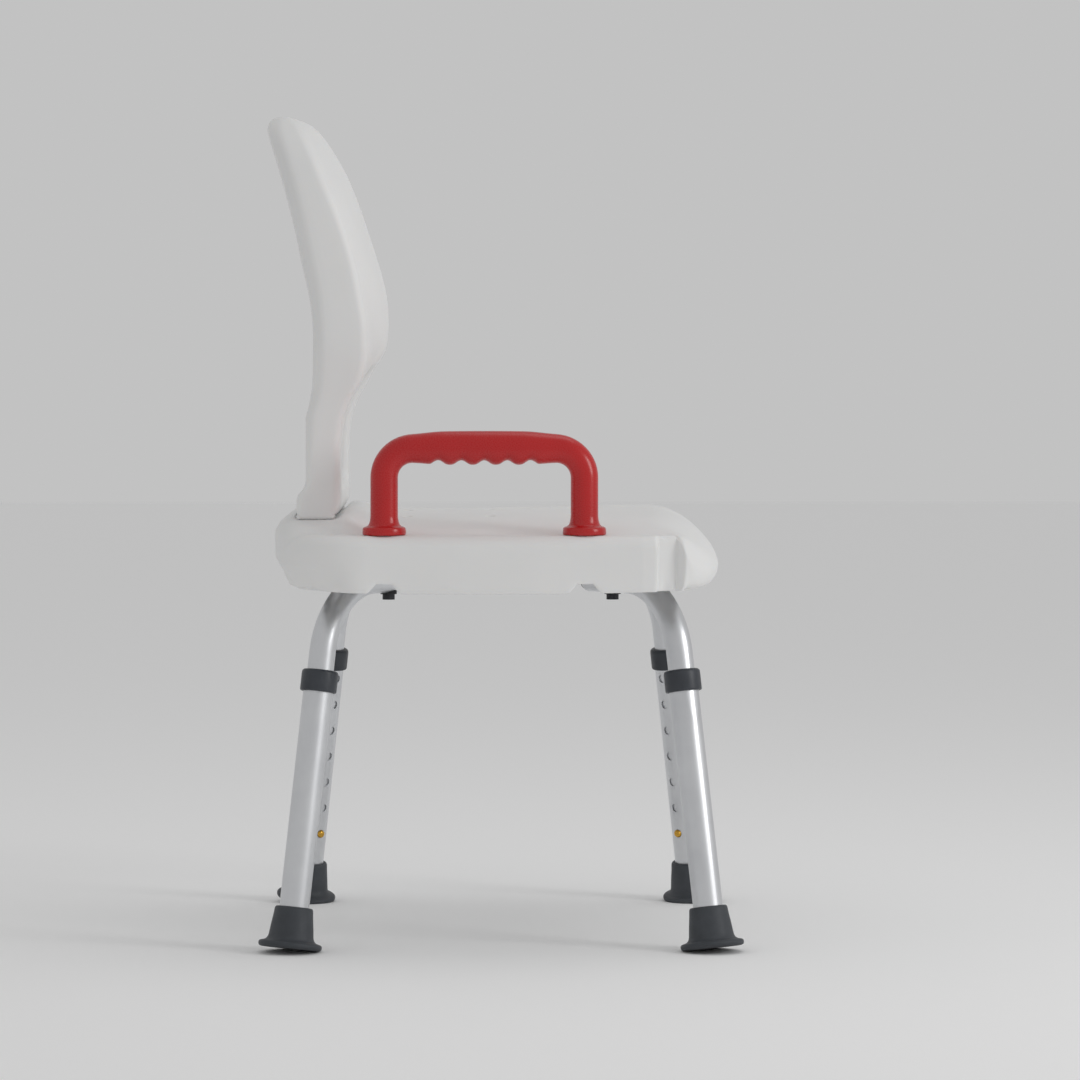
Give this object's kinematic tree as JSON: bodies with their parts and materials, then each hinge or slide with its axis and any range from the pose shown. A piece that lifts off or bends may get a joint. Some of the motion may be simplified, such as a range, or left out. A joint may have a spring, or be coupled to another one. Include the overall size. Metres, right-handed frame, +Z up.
{
  "type": "shower chair",
  "caption": "White moulded shower chair with a curved plug-in backrest, a side grab handle and telescoping aluminium legs on flared rubber feet.",
  "frame": {"origin": "on the floor under the middle of the chair, in millimetres scaled to metres", "axes": "+Z up, the front of the seat towards -Y, the sitter's right and the grab handle towards -X"},
  "size_m": [0.5, 0.4628, 0.8],
  "materials": {
    "white_plastic": "moulded polyethylene, fine satin texture",
    "red_plastic": "moulded, semi-gloss",
    "aluminium": "satin anodised tube with fine lengthwise drawing lines",
    "grey_plastic": "moulded nylon, satin",
    "grey_rubber": "moulded rubber, matte",
    "black_plastic": "moulded, satin",
    "black_steel": "black oxide",
    "steel": "stainless",
    "brass": "turned",
    "button_brass": "polished"
  },
  "bodies": {
    "chair": {"seat": "white_plastic", "backrest": "white_plastic", "backrest_screws": "steel", "grab_handle": "red_plastic", "handle_inserts": "brass", "handle_bolts": "steel", "handle_washers": "steel", "leg_inserts": "brass", "leg_bolts": "black_steel", "saddle_washers": "black_plastic", "tube_plugs": "black_plastic", "button_springs": "steel", "upper_leg_front_right": "aluminium", "upper_leg_front_left": "aluminium", "upper_leg_rear_right": "aluminium", "upper_leg_rear_left": "aluminium"},
    "lower_leg_front_right": {"lower_leg_front_right": "aluminium", "collar_front_right": "grey_plastic", "foot_tip_front_right": "grey_rubber", "foot_disc_front_right": "steel"},
    "lower_leg_front_left": {"lower_leg_front_left": "aluminium", "collar_front_left": "grey_plastic", "foot_tip_front_left": "grey_rubber", "foot_disc_front_left": "steel"},
    "lower_leg_rear_right": {"lower_leg_rear_right": "aluminium", "collar_rear_right": "grey_plastic", "foot_tip_rear_right": "grey_rubber", "foot_disc_rear_right": "steel"},
    "lower_leg_rear_left": {"lower_leg_rear_left": "aluminium", "collar_rear_left": "grey_plastic", "foot_tip_rear_left": "grey_rubber", "foot_disc_rear_left": "steel"},
    "button_front_right": {"button_front_right": "button_brass"},
    "button_front_left": {"button_front_left": "button_brass"},
    "button_rear_right": {"button_rear_right": "button_brass"},
    "button_rear_left": {"button_rear_left": "button_brass"}
  },
  "joints": [
    {"name": "leg_height_front_right", "type": "slide", "parent": "chair", "child": "lower_leg_front_right", "axis": [-0.1368, -0.1069, -0.9848], "range_m": [0, 0.165]},
    {"name": "leg_height_front_left", "type": "slide", "parent": "chair", "child": "lower_leg_front_left", "axis": [0.1368, -0.1069, -0.9848], "range_m": [0, 0.165]},
    {"name": "leg_height_rear_right", "type": "slide", "parent": "chair", "child": "lower_leg_rear_right", "axis": [-0.1368, 0.1069, -0.9848], "range_m": [0, 0.165]},
    {"name": "leg_height_rear_left", "type": "slide", "parent": "chair", "child": "lower_leg_rear_left", "axis": [0.1368, 0.1069, -0.9848], "range_m": [0, 0.165]},
    {"name": "button_press_front_right", "type": "slide", "parent": "chair", "child": "button_front_right", "axis": [-0.776, -0.6063, 0.1736], "range_m": [0, 0.004], "stiffness_N_per_m": 2500, "springref_m": -0.002},
    {"name": "button_press_front_left", "type": "slide", "parent": "chair", "child": "button_front_left", "axis": [0.776, -0.6063, 0.1736], "range_m": [0, 0.004], "stiffness_N_per_m": 2500, "springref_m": -0.002},
    {"name": "button_press_rear_right", "type": "slide", "parent": "chair", "child": "button_rear_right", "axis": [-0.776, 0.6063, 0.1736], "range_m": [0, 0.004], "stiffness_N_per_m": 2500, "springref_m": -0.002},
    {"name": "button_press_rear_left", "type": "slide", "parent": "chair", "child": "button_rear_left", "axis": [0.776, 0.6063, 0.1736], "range_m": [0, 0.004], "stiffness_N_per_m": 2500, "springref_m": -0.002}
  ]
}
